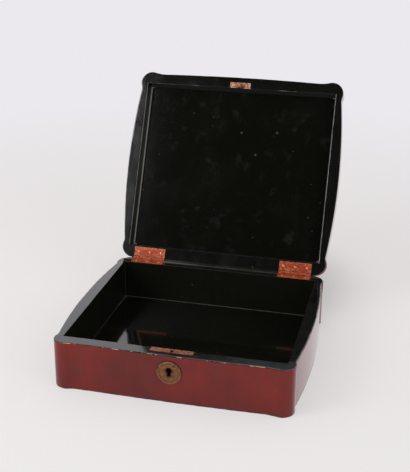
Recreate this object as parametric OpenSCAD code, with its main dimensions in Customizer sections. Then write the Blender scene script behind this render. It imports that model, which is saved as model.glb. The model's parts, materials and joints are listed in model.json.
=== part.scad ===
// Lacquered deed box with a hinged lid, standing open.
// X runs to the right, Y to the back, Z up. The origin is on the table, under the middle of the box.

/* [Plan of the box] */
// Width over the rounded ears at the corners
box_w = 260; // [230:1:300]
// Depth over the ears
box_d = 240; // [210:1:280]
// Radius of each rounded ear
ear_r = 14; // [12:0.5:16]
// How far the middle of each side bows out past its ears
side_bow = 5; // [4:0.5:9]
// Radius of the bowed sides
side_bow_r = 740; // [640:10:900]
// How far the middle of the front and of the back lies inside the line of the ears
front_dip = 0.6; // [0.4:0.1:1]
// Radius of the front and of the back
front_bow_r = 3200; // [2800:50:3600]
// Radius of the hollow sweep from each ear into a side
side_cove_r = 12; // [8:1:20]
// Radius of the hollow sweep from each ear into the front or back
front_cove_r = 52; // [40:1:60]

/* [Box walls] */
// Height of the box below the lid
wall_h = 55; // [50:1:80]
// Thickness of each side wall, measured at its ears
side_wall = 9.5; // [9:0.5:12]
// Thickness of the front wall, measured at its ears
front_wall_t = 16; // [15.5:0.5:20]
// Thickness of the rear wall, measured at its ears
rear_wall_t = 14; // [13:0.5:18]
// Thickness of the bottom board
board_t = 7; // [5:0.5:10]
// How far the bottom board is let into the walls
board_rebate = 5; // [3:0.5:5.5]
// Clearance round the bottom board in its rebate
board_fit = 0.1; // [0.05:0.05:0.3]

/* [Lid] */
// Gap between the rims when the lid is shut
lid_gap = 0.3; // [0.2:0.05:0.6]
// Height of the rails round the hollow of the lid
lid_rail_h = 14; // [12:0.5:20]
// Thickness of the top panel at its edge
lid_panel_t = 8; // [6:0.5:12]
// Radius that rounds the top panel's upper edge
lid_edge_r = 5; // [3:0.5:5.5]
// Rise of the top panel from its edge to its middle
lid_crown = 1.5; // [0.5:0.5:3]
// Width of each side rail of the lid at its rim, measured at the ears
lid_side_rail = 9; // [8:0.5:11]
// Width of the front rail of the lid at its rim, measured at the ears
lid_front_rail_w = 14.6; // [14.5:0.1:18]
// Width of the rear rail of the lid at its rim, measured at the ears
lid_rear_rail_w = 15.5; // [14.5:0.5:20]
// How far the hollow's walls lean in from the rim to the panel
lid_wall_lean = 2; // [1:0.5:4]
// Angle by which the lid stands open
lid_open = 116; // [100:1:120]

/* [Hinges] */
// Distance from each hinge's outer end to the inside of the side wall
hinge_from_side = 7.5; // [6:0.5:20]
// Length of each hinge
hinge_len = 40; // [36:1:46]
// Thickness of a hinge leaf
leaf_t = 1.2; // [1:0.1:1.6]
// Radius of the knuckles
knuckle_r = 2.2; // [2:0.1:2.4]
// Radius of the hinge pin
hinge_pin_r = 1; // [0.8:0.1:1.2]
// How far the hinge's axis stands behind the line of the ears
hinge_axis_out = 0.4; // [0.3:0.1:0.8]
// Running clearance of the pin in the lid leaf's knuckles
pin_fit = 0.05; // [0.03:0.01:0.08]
// Clearance of the pin in the base leaf's knuckles
pin_seat = 0.02; // [0.01:0.01:0.03]
// Gap between neighbouring knuckles
knuckle_gap = 0.35; // [0.3:0.05:0.5]
// How far each leaf stops short of the rim's inner edge
leaf_inset = 0.4; // [0.2:0.1:1]
// Distance between the nails of a leaf
leaf_nail_pitch = 14.5; // [12:0.5:15.5]

/* [Lock] */
// Length of the lock plate along the rim
lock_w = 46; // [44:1:54]
// Height of the lock plate behind the front wall
lock_h = 33; // [32.5:0.5:36]
// Width of the strip of the lock plate let into the rim
strip_w = 8; // [7.8:0.1:8.4]
// Thickness of the lock plate
lock_plate_t = 1.2; // [1:0.1:1.3]
// Thickness of the lock's cap
cap_t = 0.8; // [0.6:0.1:1]
// How far the cap stops short of the lower end of the lock plate
cap_inset = 2; // [1.5:0.5:4]
// Radius of the pillars between the cap and the lock plate
pillar_r = 1.2; // [1:0.1:1.4]
// Distance of the pillars' middles from the upper and lower ends of the cap
pillar_inset = 4; // [3:0.5:6]
// Distance of the lock's nails from the upper and lower ends of the lock plate
lock_nail_inset = 6; // [4:0.5:8]
// Depth of the keyhole's round part below the rim
key_drop = 16.5; // [16:0.5:18]
// Radius of the pin on which the key turns
key_pin_r = 1.2; // [1:0.1:1.3]
// How far that pin stands out of the cap
key_pin_out = 1; // [0.5:0.5:3]
// Travel of the bolt
bolt_throw = 6; // [5:0.5:6]
// Thickness of the bolt
bolt_t = 2.6; // [2.4:0.1:2.8]
// Height of the bar of the bolt that goes through the eye
bolt_bar_h = 3.6; // [3.2:0.1:3.8]
// Depth of the middle of that bar below the rim
bolt_bar_drop = 5; // [4.8:0.1:5.2]
// How far the tail reaches past the middle of the lock at rest
tail_reach = 8; // [7:0.5:9]
// Height of the tail
tail_h = 4.6; // [4:0.1:5]
// Width of the stem that joins the tail to the bar
stem_w = 5.5; // [4:0.5:7]
// Width of the notch in the tail for the key
notch_w = 5; // [4:0.5:6]
// Height of that notch
notch_h = 2.4; // [1.5:0.1:3]
// Gap between the bolt's tip and the eye at rest
tip_gap = 0.8; // [0.6:0.1:1.2]
// Gap between the eye's foot and the tail
tail_gap = 1.1; // [0.8:0.1:1.3]
// Radius of the two studs under the tail
stud_r = 0.9; // [0.8:0.1:1]
// Distance of each stud from the middle of the lock
stud_x = 6.5; // [6:0.1:7]
// Length of the leaf spring over the bolt
spring_span = 9; // [7:0.5:10]
// Thickness of that spring
spring_t = 0.4; // [0.3:0.05:0.6]
// Sliding clearance between the bolt and what guides it
bolt_fit = 0.3; // [0.3:0.05:0.4]
// Clearance of the lock in its pocket
pocket_fit = 0.1; // [0.05:0.05:0.2]

/* [Catch on the lid] */
// Length of the catch plate
catch_w = 26; // [22:1:30]
// Width of the catch plate
catch_plate_w = 7.2; // [7:0.1:7.6]
// Thickness of the catch plate
catch_t = 1.2; // [1:0.1:1.5]
// How far the catch plate stays back from the hollow of the lid
catch_inset = 0.3; // [0.2:0.1:0.5]
// Length of the eye's tangs above the rim
tang_h = 6; // [4:0.5:9]
// Thickness of each tang
tang_t = 0.8; // [0.6:0.1:1.2]
// Distance of the eye's middle from the line of the front ears
eye_in = 11.7; // [11.6:0.1:11.8]
// Thickness of the eye along the bolt
eye_t = 2.4; // [2:0.1:2.8]
// Width of the eye from front to back
eye_w = 5; // [4.8:0.1:5.2]
// Depth to which the eye reaches into the lock
eye_drop = 8.8; // [8.6:0.1:9]
// Clearance round the bolt in the eye and round the eye in the lock plate
eye_fit = 0.4; // [0.35:0.05:0.45]
// Distance of each catch nail from the middle
catch_nail_x = 8.2; // [6:0.1:9]

/* [Escutcheon] */
// Radius of the round keyhole plate
plate_r = 13; // [11:0.5:14]
// Thickness of the keyhole plate
plate_t = 1.2; // [1:0.1:2]
// Depth of the keyhole plate's middle below the rim
plate_drop = 19; // [18:0.5:22]
// Width of its raised outer ring
ring_w = 2.6; // [2:0.1:3.5]
// Height of the raised ring
ring_h = 0.6; // [0.4:0.1:1]
// Radius of the head of each of its pins
pin_head_r = 1.1; // [0.8:0.1:1.3]
// Height of that head
pin_head_h = 0.3; // [0.2:0.1:0.6]
// Radius of the pin's shank
pin_r = 0.55; // [0.4:0.05:0.7]
// Length of the pin's shank
pin_len = 4.8; // [3:0.2:6]
// Gap between the pin's head and the ring
pin_inset = 0.3; // [0.2:0.1:1]
// Radius of the keyhole's round part
keyhole_r = 3.1; // [2.8:0.1:3.4]
// Width of the keyhole's slot where it is narrowest
keyhole_slot = 2.8; // [2.4:0.1:3.2]
// Width of the keyhole's slot at its foot
keyhole_foot = 4.2; // [3.4:0.1:4.8]
// Height of the keyhole
keyhole_h = 9.6; // [9:0.1:10.5]

/* [Nails] */
// Radius of a nail's shank
nail_r = 0.7; // [0.5:0.05:0.9]
// Radius of a nail's head
nail_head_r = 1.4; // [1.2:0.1:1.6]
// Length of a nail
nail_len = 8; // [6:0.5:9]
// Clearance of a nail in its hole
nail_fit = 0.05; // [0.03:0.01:0.1]

/* [Hidden] */

red_lacquer = "#6f332f";
black_lacquer = "#1b1c19";
copper = "#95503c";
brass = "#8a6a3c";
steel = "#6a6a68";

// Half sizes of the plan, and the centres and radii of its arcs
half_w = box_w / 2;
half_d = box_d / 2;
ear_x = half_w - ear_r;
ear_y = half_d - ear_r;
side_mid = half_w + side_bow;
front_mid = half_d - front_dip;
side_c = side_mid - side_bow_r;
front_c = front_mid - front_bow_r;
far = box_w + box_d;
over = 1; // how far a cut runs past the face that it opens

// Inside of the box
in_x = half_w - side_wall;
in_front = -half_d + front_wall_t;
in_rear = half_d - rear_wall_t;

// Mouth and floor of the lid's hollow, as drawn with the lid shut
mouth_x = half_w - lid_side_rail;
mouth_front = -half_d + lid_front_rail_w;
mouth_rear = half_d - lid_rear_rail_w;
lid_z = wall_h + lid_gap;
panel_z = lid_z + lid_rail_h;

// Hinges
hinge_x = in_x - hinge_from_side - hinge_len / 2;
axis_y = half_d + hinge_axis_out;
axis_z = wall_h + lid_gap / 2;
knuckles = 5;
knuckle_pitch = (hinge_len + knuckle_gap) / knuckles;
knuckle_len = knuckle_pitch - knuckle_gap;
swing_r = knuckle_r + lid_gap; // room that a knuckle needs in the wood or beside the other leaf
nail_y = (in_rear + leaf_inset + axis_y - swing_r) / 2;
lid_leaf_y = max(in_rear, mouth_rear) + leaf_inset;

// Lock, its bolt and the eye that the bolt goes through
eye_y = -half_d + eye_in;
eye_low = wall_h - eye_drop;
strip_front = in_front - strip_w;
strip_under = wall_h - lock_plate_t;
lock_low = wall_h - lock_h;
plate_y = in_front - lock_plate_t;
cap_back = strip_front + cap_t;
cap_low = lock_low + cap_inset;
works_top = wall_h - bolt_bar_drop + bolt_bar_h / 2;
bar_low = works_top - bolt_bar_h;
bar_tip = -eye_t / 2 - tip_gap;
tail_top = eye_low - tail_gap;
tail_low = tail_top - tail_h;
bolt_left = bar_tip - bolt_throw - stem_w; // so that the stem stops short of the eye
pillar_x = max(tail_reach + bolt_throw, -bolt_left) + 2 * bolt_fit + 1.5 * pillar_r;
works_half_w = pillar_x + 1.5 * pillar_r;
stud_z = tail_low - bolt_fit - stud_r;
lock_nail_x = (works_half_w + lock_w / 2) / 2;
key_z = wall_h - key_drop;
plate_z = wall_h - plate_drop;
pin_at = (plate_r - ring_w - pin_inset - pin_head_r) * sqrt(0.5);

// Catch
catch_inner = mouth_front - catch_inset;
catch_y = catch_inner - catch_plate_w / 2;

// A point where two circles meet; turn is 1 for the one to the left of the line from c1 to c2
function meet(c1, r1, c2, r2, turn) =
    let (d = norm(c2 - c1), u = (c2 - c1) / d)
    let (x = (r1 * r1 - r2 * r2 + d * d) / (2 * d), h = sqrt(r1 * r1 - x * x))
    c1 + u * x + turn * h * [-u[1], u[0]];

ear_c = [ear_x, ear_y];
side_bow_c = [side_c, 0];
front_bow_c = [0, front_c];
side_cove_c = meet(side_bow_c, side_bow_r + side_cove_r, ear_c, ear_r + side_cove_r, -1);
front_cove_c = meet(front_bow_c, front_bow_r + front_cove_r, ear_c, ear_r + front_cove_r, 1);

// Points along an arc from one angle to another, without the last one
function arc_points(c, r, a0, a1, n) =
    [for (i = [0:n - 1]) let (a = a0 + (a1 - a0) * i / n) c + r * [cos(a), sin(a)]];
function heading(p, q) = atan2(q[1] - p[1], q[0] - p[0]);
function back(list) = [for (i = [len(list) - 1:-1:0]) list[i]];

// A quarter of the plan, drawn in by a distance, from the right side's middle to the back's middle
function quarter(inset) = concat(
    arc_points(side_bow_c, side_bow_r - inset, 0, heading(side_bow_c, side_cove_c), 7),
    arc_points(side_cove_c, side_cove_r + inset, 180 + heading(side_bow_c, side_cove_c),
        180 + heading(ear_c, side_cove_c), 3),
    arc_points(ear_c, ear_r - inset, heading(ear_c, side_cove_c), heading(ear_c, front_cove_c), 12),
    arc_points(front_cove_c, front_cove_r + inset, heading(front_cove_c, ear_c),
        heading(front_cove_c, front_bow_c), 5),
    arc_points(front_bow_c, front_bow_r - inset, heading(front_bow_c, front_cove_c), 90, 5));

// The whole plan, drawn in by a distance, counter-clockwise
function plan_points(inset) =
    let (q = quarter(inset), last = len(q) - 1)
    concat(q, [[0, front_mid - inset]], [for (p = back(q)) [-p[0], p[1]]],
        [for (i = [1:last]) -q[i]], [[0, inset - front_mid]], [for (i = [last:-1:1]) [q[i][0], -q[i][1]]]);

// The serpentine plan of the box and of the lid
module plan() {
    polygon(plan_points(0));
}

// Regions of the plan, parted by mitres that run from the inside corners out through the ears
module mitre_region(side, hx, front, rear) {
    reach = 4; // how many times the wall's thickness the mitres run out
    out_x = hx + (half_w - hx) * reach;
    out_front = front - (half_d + front) * reach;
    out_rear = rear + (half_d - rear) * reach;
    fl = [-hx, front];
    fr = [hx, front];
    rl = [-hx, rear];
    rr = [hx, rear];
    o_fl = [-out_x, out_front];
    o_fr = [out_x, out_front];
    o_rl = [-out_x, out_rear];
    o_rr = [out_x, out_rear];
    if (side == "front") polygon([fl, fr, o_fr, o_fl]);
    if (side == "rear") polygon([rl, rr, o_rr, o_rl]);
    if (side == "left") polygon([fl, rl, o_rl, o_fl]);
    if (side == "right") polygon([fr, rr, o_rr, o_fr]);
}

// A countersunk nail, its head flush with z = 0 and its point down
module nail(grow = 0) {
    head_h = nail_head_r - nail_r;
    cylinder(r1 = nail_r + grow, r2 = nail_head_r + grow, h = head_h, $fn = 32);
    translate([0, 0, head_h - nail_len - grow])
        cylinder(r = nail_r + grow, h = nail_len + grow, $fn = 32);
}

// A nail with the top of its head at a given point
module nail_at(p, grow = 0) {
    translate(p - [0, 0, nail_head_r - nail_r])
        nail(grow);
}

// The hole for a nail with its head at a given point, open above the head
module nail_hole(p) {
    nail_at(p, nail_fit);
    translate(p)
        cylinder(r = nail_head_r + nail_fit, h = over, $fn = 32);
}

// Places for the three nails of a leaf
module leaf_nails_x(cx) {
    for (i = [-1:1])
        translate([cx + i * leaf_nail_pitch, 0, 0])
            children();
}

// Room in a rim for one hinge leaf and for all the knuckles
module hinge_room(cx, inner_y, z_from) {
    translate([cx - hinge_len / 2, inner_y, z_from])
        cube([hinge_len, axis_y, leaf_t + over]);
    translate([cx - hinge_len / 2 - lid_gap, axis_y, axis_z])
        rotate([0, 90, 0])
            cylinder(r = swing_r, h = hinge_len + 2 * lid_gap, $fn = 48);
}

// One wall of the box
module wall(side) {
    difference() {
        linear_extrude(wall_h)
            difference() {
                intersection() {
                    plan();
                    mitre_region(side, in_x, in_front, in_rear);
                }
                translate([-in_x, in_front])
                    square([2 * in_x, in_rear - in_front]);
            }
        translate([-in_x - board_rebate, in_front - board_rebate, -over])
            cube([2 * (in_x + board_rebate), in_rear - in_front + 2 * board_rebate, board_t + over]);
    }
}

// Outline of the keyhole, with its round part's middle at the origin and its foot below
module keyhole() {
    circle(r = keyhole_r, $fn = 48);
    foot = keyhole_h - keyhole_r;
    polygon([[-keyhole_slot / 2, 0], [keyhole_slot / 2, 0], [keyhole_slot / 2, -foot / 2],
        [keyhole_foot / 2, -foot], [-keyhole_foot / 2, -foot], [-keyhole_slot / 2, -foot / 2]]);
}

// Keyhole passage through whatever lies between two planes y
module keyhole_cut(y_from, y_to) {
    translate([0, y_to, key_z])
        rotate([90, 0, 0])
            linear_extrude(y_to - y_from)
                keyhole();
}

module lock_nail_places() {
    for (sx = [-1, 1], z = [lock_low + lock_nail_inset, wall_h - lock_nail_inset])
        translate([sx * lock_nail_x, in_front, z])
            rotate([-90, 0, 0])
                children();
}

module front_wall() {
    color(red_lacquer)
        difference() {
            wall("front");
            // shallow seat of the bent plate
            translate([-lock_w / 2 - pocket_fit, plate_y, lock_low - pocket_fit])
                cube([lock_w + 2 * pocket_fit, lock_plate_t + over, lock_h + over]);
            translate([-lock_w / 2 - pocket_fit, strip_front - pocket_fit, strip_under])
                cube([lock_w + 2 * pocket_fit, strip_w + over, lock_plate_t + over]);
            // deep pocket for the works
            translate([-works_half_w - pocket_fit, strip_front - pocket_fit, cap_low - pocket_fit])
                cube([2 * (works_half_w + pocket_fit), strip_w, lock_h]);
            keyhole_cut(-half_d - over, in_front);
            lock_nail_places() nail_hole([0, 0, 0]);
            escutcheon_pin_places() pin_hole();
        }
}

module rear_wall() {
    color(red_lacquer)
        difference() {
            wall("rear");
            for (s = [-1, 1]) {
                hinge_room(s * hinge_x, in_rear + leaf_inset, wall_h - leaf_t);
                leaf_nails_x(s * hinge_x) nail_hole([0, nail_y, wall_h]);
            }
        }
}

module left_wall() {
    color(red_lacquer) wall("left");
}

module right_wall() {
    color(red_lacquer) wall("right");
}

module bottom_board() {
    grow = board_rebate - board_fit;
    color(black_lacquer)
        translate([-in_x - grow, in_front - grow, 0])
            cube([2 * (in_x + grow), in_rear - in_front + 2 * grow, board_t]);
}

// Knuckles of a hinge: the base leaf has the even ones, the lid leaf the odd ones
module knuckle_row(cx, odd, bore) {
    for (i = [odd:2:knuckles - 1])
        translate([cx - hinge_len / 2 + i * knuckle_pitch, axis_y, axis_z])
            rotate([0, 90, 0])
                difference() {
                    cylinder(r = knuckle_r, h = knuckle_len, $fn = 48);
                    translate([0, 0, -over])
                        cylinder(r = bore, h = knuckle_len + 2 * over, $fn = 48);
                }
}

// A hinge leaf with its knuckles, lying from z_from up, its inner edge at inner_y
module leaf(cx, odd, z_from, inner_y, bore) {
    difference() {
        union() {
            translate([cx - hinge_len / 2, inner_y, z_from])
                cube([hinge_len, axis_y - swing_r - inner_y, leaf_t]);
            for (i = [odd:2:knuckles - 1])
                translate([cx - hinge_len / 2 + i * knuckle_pitch, axis_y - swing_r - over, z_from])
                    cube([knuckle_len, swing_r + over, leaf_t]);
            knuckle_row(cx, odd, bore);
        }
        translate([cx - hinge_len, axis_y, axis_z])
            rotate([0, 90, 0])
                cylinder(r = bore, h = 2 * hinge_len, $fn = 48);
        leaf_nails_x(cx) children();
    }
}

module base_leaf(cx) {
    color(copper)
        leaf(cx, 0, wall_h - leaf_t, in_rear + leaf_inset, hinge_pin_r + pin_seat)
            nail_hole([0, nail_y, wall_h]);
}

module hinge_left_base_leaf() {
    base_leaf(-hinge_x);
}

module hinge_right_base_leaf() {
    base_leaf(hinge_x);
}

module hinge_pin(cx) {
    color(steel)
        translate([cx - hinge_len / 2, axis_y, axis_z])
            rotate([0, 90, 0])
                cylinder(r = hinge_pin_r, h = hinge_len, $fn = 48);
}

module hinge_left_pin() {
    hinge_pin(-hinge_x);
}

module hinge_right_pin() {
    hinge_pin(hinge_x);
}

module base_hinge_nails() {
    color(brass)
        for (s = [-1, 1])
            leaf_nails_x(s * hinge_x) nail_at([0, nail_y, wall_h]);
}

// The bent lock plate: a strip in the rim and a plate down the inside of the front wall
module lock_plate() {
    slot_x = eye_t / 2 + eye_fit;
    slot_y = eye_w / 2 + eye_fit;
    color(copper)
        difference() {
            union() {
                translate([-lock_w / 2, strip_front, strip_under])
                    cube([lock_w, strip_w, lock_plate_t]);
                translate([-lock_w / 2, plate_y, lock_low])
                    cube([lock_w, lock_plate_t, lock_h]);
            }
            translate([-slot_x, eye_y - slot_y, strip_under - over])
                cube([2 * slot_x, 2 * slot_y, lock_plate_t + 2 * over]);
            lock_nail_places() nail_hole([0, 0, 0]);
        }
}

module lock_cap() {
    color(brass)
        difference() {
            translate([-works_half_w, strip_front, cap_low])
                cube([2 * works_half_w, cap_t, strip_under - cap_low]);
            keyhole_cut(strip_front - over, cap_back + over);
        }
}

// A post across the works from the cap to the back plate
module works_post(p, r, y_from, y_to) {
    translate([p[0], y_to, p[1]])
        rotate([90, 0, 0])
            cylinder(r = r, h = y_to - y_from, $fn = 32);
}

module lock_pillars() {
    color(brass)
        for (x = [-pillar_x, pillar_x], z = [cap_low + pillar_inset, strip_under - pillar_inset])
            works_post([x, z], pillar_r, cap_back, plate_y);
}

module lock_guide_studs() {
    color(brass)
        for (x = [-stud_x, stud_x])
            works_post([x, stud_z], stud_r, cap_back, plate_y);
}

module lock_key_pin() {
    color(steel)
        works_post([0, key_z], key_pin_r, strip_front - key_pin_out, plate_y);
}

// Outline of the bolt from behind: a bar for the eye, over a tail with a notch for the key
module bolt_outline() {
    difference() {
        union() {
            translate([bolt_left, bar_low])
                square([bar_tip - bolt_left, bolt_bar_h]);
            translate([bolt_left, tail_low])
                square([tail_reach - bolt_left, tail_h]);
            translate([bolt_left, tail_low])
                square([stem_w, works_top - tail_low]);
        }
        translate([-notch_w / 2, tail_low - over])
            square([notch_w, notch_h + over]);
    }
}

module lock_bolt() {
    color(brass)
        translate([0, eye_y + bolt_t / 2, 0])
            rotate([90, 0, 0])
                linear_extrude(bolt_t)
                    bolt_outline();
}

// Bowed leaf spring between the strip and the top of the bolt
module lock_spring() {
    sag = strip_under - works_top - bolt_fit;
    bow_r = (spring_span * spring_span / 4 + sag * sag) / (2 * sag);
    mid_x = (bolt_left + bar_tip) / 2;
    color(steel)
        translate([mid_x, eye_y + bolt_t / 2, strip_under - sag + bow_r])
            rotate([90, 0, 0])
                linear_extrude(bolt_t)
                    intersection() {
                        difference() {
                            circle(r = bow_r, $fn = 180);
                            circle(r = bow_r - spring_t, $fn = 180);
                        }
                        translate([-spring_span / 2, -bow_r])
                            square([spring_span, sag]);
                    }
}

module lock_nails() {
    color(brass)
        lock_nail_places() nail_at([0, 0, 0]);
}

// Places of the two pins of the keyhole plate, inside its ring
module escutcheon_pin_places() {
    for (s = [-1, 1])
        translate([s * pin_at, -front_mid - plate_t, plate_z + s * pin_at])
            rotate([90, 0, 0])
                children();
}

// The hole for such a pin, through the plate and into the wall
module pin_hole() {
    translate([0, 0, -pin_len])
        cylinder(r = pin_r + nail_fit, h = pin_len + over, $fn = 32);
}

module escutcheon_pins() {
    color(brass)
        escutcheon_pin_places() {
            cylinder(r = pin_head_r, h = pin_head_h, $fn = 32);
            translate([0, 0, -pin_len])
                cylinder(r = pin_r, h = pin_len + pin_head_h / 2, $fn = 32);
        }
}

// Round keyhole plate with a raised, beaded ring
module escutcheon() {
    bead_r = ring_w / 2;
    bead_at = plate_r - bead_r;
    color(brass)
        difference() {
            translate([0, -front_mid, plate_z])
                rotate([90, 0, 0])
                    union() {
                        cylinder(r = plate_r, h = plate_t, $fn = 96);
                        translate([0, 0, plate_t])
                            rotate_extrude($fn = 96)
                                translate([bead_at, 0])
                                    intersection() {
                                        circle(r = bead_r, $fn = 32);
                                        translate([-bead_r, 0])
                                            square([2 * bead_r, ring_h]);
                                    }
                    }
            keyhole_cut(-half_d - plate_t - ring_h - over, 0);
            escutcheon_pin_places() pin_hole();
        }
}

// Turns what is drawn with the lid shut to where it stands with the lid open
module opened() {
    translate([0, axis_y, axis_z])
        rotate([-lid_open, 0, 0])
            translate([0, -axis_y, -axis_z])
                children();
}

// The hollow of the lid: flat walls that lean in from the mouth up to the panel
module lid_hollow() {
    low = lid_z - over;
    lean_rate = lid_wall_lean / lid_rail_h;
    grow = over * lean_rate;
    intersection() {
        rotate([90, 0, 0])
            linear_extrude(far, center = true)
                polygon([[-mouth_x - grow, low], [mouth_x + grow, low],
                    [mouth_x - lid_wall_lean, panel_z], [-mouth_x + lid_wall_lean, panel_z]]);
        rotate([90, 0, 90])
            linear_extrude(far, center = true)
                polygon([[mouth_front - grow, low], [mouth_rear + grow, low],
                    [mouth_rear - lid_wall_lean, panel_z], [mouth_front + lid_wall_lean, panel_z]]);
    }
}

// One rail of the lid, drawn shut
module rail(side) {
    difference() {
        translate([0, 0, lid_z])
            linear_extrude(lid_rail_h)
                intersection() {
                    plan();
                    mitre_region(side, mouth_x - lid_wall_lean, mouth_front + lid_wall_lean,
                        mouth_rear - lid_wall_lean);
                }
        lid_hollow();
    }
}

module catch_nail_places() {
    for (s = [-1, 1])
        translate([s * catch_nail_x, catch_y, lid_z])
            rotate([180, 0, 0])
                children();
}

module lid_front_rail() {
    color(red_lacquer)
        opened()
            difference() {
                rail("front");
                translate([-catch_w / 2 - pocket_fit, catch_inner - catch_plate_w - pocket_fit, lid_z - over])
                    cube([catch_w + 2 * pocket_fit, catch_plate_w + 2 * pocket_fit, catch_t + over]);
                translate([-eye_t / 2 - nail_fit, eye_y - eye_w / 2 - nail_fit, lid_z])
                    cube([eye_t + 2 * nail_fit, eye_w + 2 * nail_fit, tang_h + nail_fit]);
                catch_nail_places() nail_hole([0, 0, 0]);
            }
}

module lid_rear_rail() {
    color(red_lacquer)
        opened()
            difference() {
                rail("rear");
                for (s = [-1, 1]) {
                    hinge_room(s * hinge_x, lid_leaf_y, lid_z - over);
                    leaf_nails_x(s * hinge_x)
                        translate([0, nail_y, lid_z])
                            rotate([180, 0, 0])
                                nail_hole([0, 0, 0]);
                }
            }
}

module lid_left_rail() {
    color(red_lacquer) opened() rail("left");
}

module lid_right_rail() {
    color(red_lacquer) opened() rail("right");
}

function ring(inset, z) = [for (p = plan_points(inset)) [p[0], p[1], z]];

// Top panel: straight sides, a rounded upper edge and a low crown that rises to the middle
module lid_top_panel() {
    edge_z = panel_z + lid_panel_t - lid_edge_r;
    top_z = panel_z + lid_panel_t;
    sides = [ring(0, panel_z),
        for (t = [0:22.5:90]) ring(lid_edge_r * (1 - cos(t)), edge_z + lid_edge_r * sin(t))];
    crown = [for (s = [0.75, 0.45])
        [for (p = ring(lid_edge_r, 0)) [p[0] * s, p[1] * s, top_z + lid_crown * (1 - s * s)]]];
    rings = concat(sides, crown);
    n = len(rings[0]);
    last = len(rings) - 1;
    points = concat([for (r = rings, p = r) p], [[0, 0, top_z + lid_crown]]);
    faces = concat(
        [[for (i = [0:n - 1]) i]],
        [for (k = [0:last - 1], i = [0:n - 1]) [k * n + i, (k + 1) * n + i, (k + 1) * n + (i + 1) % n]],
        [for (k = [0:last - 1], i = [0:n - 1]) [k * n + i, (k + 1) * n + (i + 1) % n, k * n + (i + 1) % n]],
        [for (i = [0:n - 1]) [(last + 1) * n, last * n + (i + 1) % n, last * n + i]]);
    color(red_lacquer)
        opened()
            polyhedron(points, faces);
}

module lid_leaf(cx) {
    color(copper)
        opened()
            leaf(cx, 1, lid_z, lid_leaf_y, hinge_pin_r + pin_fit)
                translate([0, nail_y, lid_z])
                    rotate([180, 0, 0])
                        nail_hole([0, 0, 0]);
}

module hinge_left_lid_leaf() {
    lid_leaf(-hinge_x);
}

module hinge_right_lid_leaf() {
    lid_leaf(hinge_x);
}

module lid_hinge_nails() {
    color(brass)
        opened()
            for (s = [-1, 1])
                leaf_nails_x(s * hinge_x)
                    translate([0, nail_y, lid_z])
                        rotate([180, 0, 0])
                            nail_at([0, 0, 0]);
}

module catch_plate() {
    room = nail_fit;
    color(copper)
        opened()
            difference() {
                translate([-catch_w / 2, catch_inner - catch_plate_w, lid_z])
                    cube([catch_w, catch_plate_w, catch_t]);
                translate([-eye_t / 2 - room, eye_y - eye_w / 2 - room, lid_z - over])
                    cube([eye_t + 2 * room, eye_w + 2 * room, catch_t + 2 * over]);
                catch_nail_places() nail_hole([0, 0, 0]);
            }
}

// The eye: a round-ended loop below the plate for the bolt, and two tangs driven into the rail
module catch_eye() {
    round_r = eye_w / 2;
    loop_z = bar_low - eye_fit;
    loop_y = bolt_t / 2 + eye_fit;
    color(brass)
        opened()
            difference() {
                translate([-eye_t / 2, eye_y, 0])
                    rotate([90, 0, 90])
                        linear_extrude(eye_t) {
                            translate([0, eye_low + round_r])
                                circle(r = round_r, $fn = 48);
                            translate([-round_r, eye_low + round_r])
                                square([eye_w, lid_z + tang_h - eye_low - round_r]);
                        }
                translate([-eye_t, eye_y - loop_y, loop_z])
                    cube([2 * eye_t, 2 * loop_y, bolt_bar_h + 2 * eye_fit]);
                translate([-eye_t, eye_y - round_r + tang_t, lid_z + catch_t])
                    cube([2 * eye_t, eye_w - 2 * tang_t, tang_h]);
            }
}

module catch_nails() {
    color(brass)
        opened()
            catch_nail_places() nail_at([0, 0, 0]);
}

front_wall();
rear_wall();
left_wall();
right_wall();
bottom_board();
hinge_left_base_leaf();
hinge_left_pin();
hinge_right_base_leaf();
hinge_right_pin();
base_hinge_nails();
lock_plate();
lock_cap();
lock_pillars();
lock_guide_studs();
lock_key_pin();
lock_bolt();
lock_spring();
lock_nails();
escutcheon();
escutcheon_pins();
lid_front_rail();
lid_rear_rail();
lid_left_rail();
lid_right_rail();
lid_top_panel();
hinge_left_lid_leaf();
hinge_right_lid_leaf();
lid_hinge_nails();
catch_plate();
catch_eye();
catch_nails();
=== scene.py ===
import json
from functools import partialmethod
from math import asin, atan2, cos, pi, radians, sin, sqrt

import bpy
import numpy as np
from numpy.linalg import norm
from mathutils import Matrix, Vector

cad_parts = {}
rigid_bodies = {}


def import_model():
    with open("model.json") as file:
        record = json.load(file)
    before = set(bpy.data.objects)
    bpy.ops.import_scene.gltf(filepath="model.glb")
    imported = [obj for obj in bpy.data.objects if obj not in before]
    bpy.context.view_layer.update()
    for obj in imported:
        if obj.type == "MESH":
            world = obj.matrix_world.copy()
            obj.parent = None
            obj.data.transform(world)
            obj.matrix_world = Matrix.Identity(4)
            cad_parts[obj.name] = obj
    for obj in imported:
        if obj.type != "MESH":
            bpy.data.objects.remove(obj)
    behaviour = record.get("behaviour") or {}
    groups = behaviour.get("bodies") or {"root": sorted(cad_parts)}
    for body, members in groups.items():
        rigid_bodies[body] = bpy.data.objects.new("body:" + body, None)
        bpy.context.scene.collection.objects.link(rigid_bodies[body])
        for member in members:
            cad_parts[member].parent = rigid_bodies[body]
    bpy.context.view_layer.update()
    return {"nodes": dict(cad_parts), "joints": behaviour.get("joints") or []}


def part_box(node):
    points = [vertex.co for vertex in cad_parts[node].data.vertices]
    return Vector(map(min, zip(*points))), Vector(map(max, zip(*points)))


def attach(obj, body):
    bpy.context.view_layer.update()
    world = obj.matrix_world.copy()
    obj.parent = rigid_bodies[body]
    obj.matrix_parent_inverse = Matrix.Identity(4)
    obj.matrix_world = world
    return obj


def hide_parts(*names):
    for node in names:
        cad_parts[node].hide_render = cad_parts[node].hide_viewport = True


# Lacquered deed box, red outside and black inside, standing open. Metres, Z up, front towards -Y.
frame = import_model()
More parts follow.
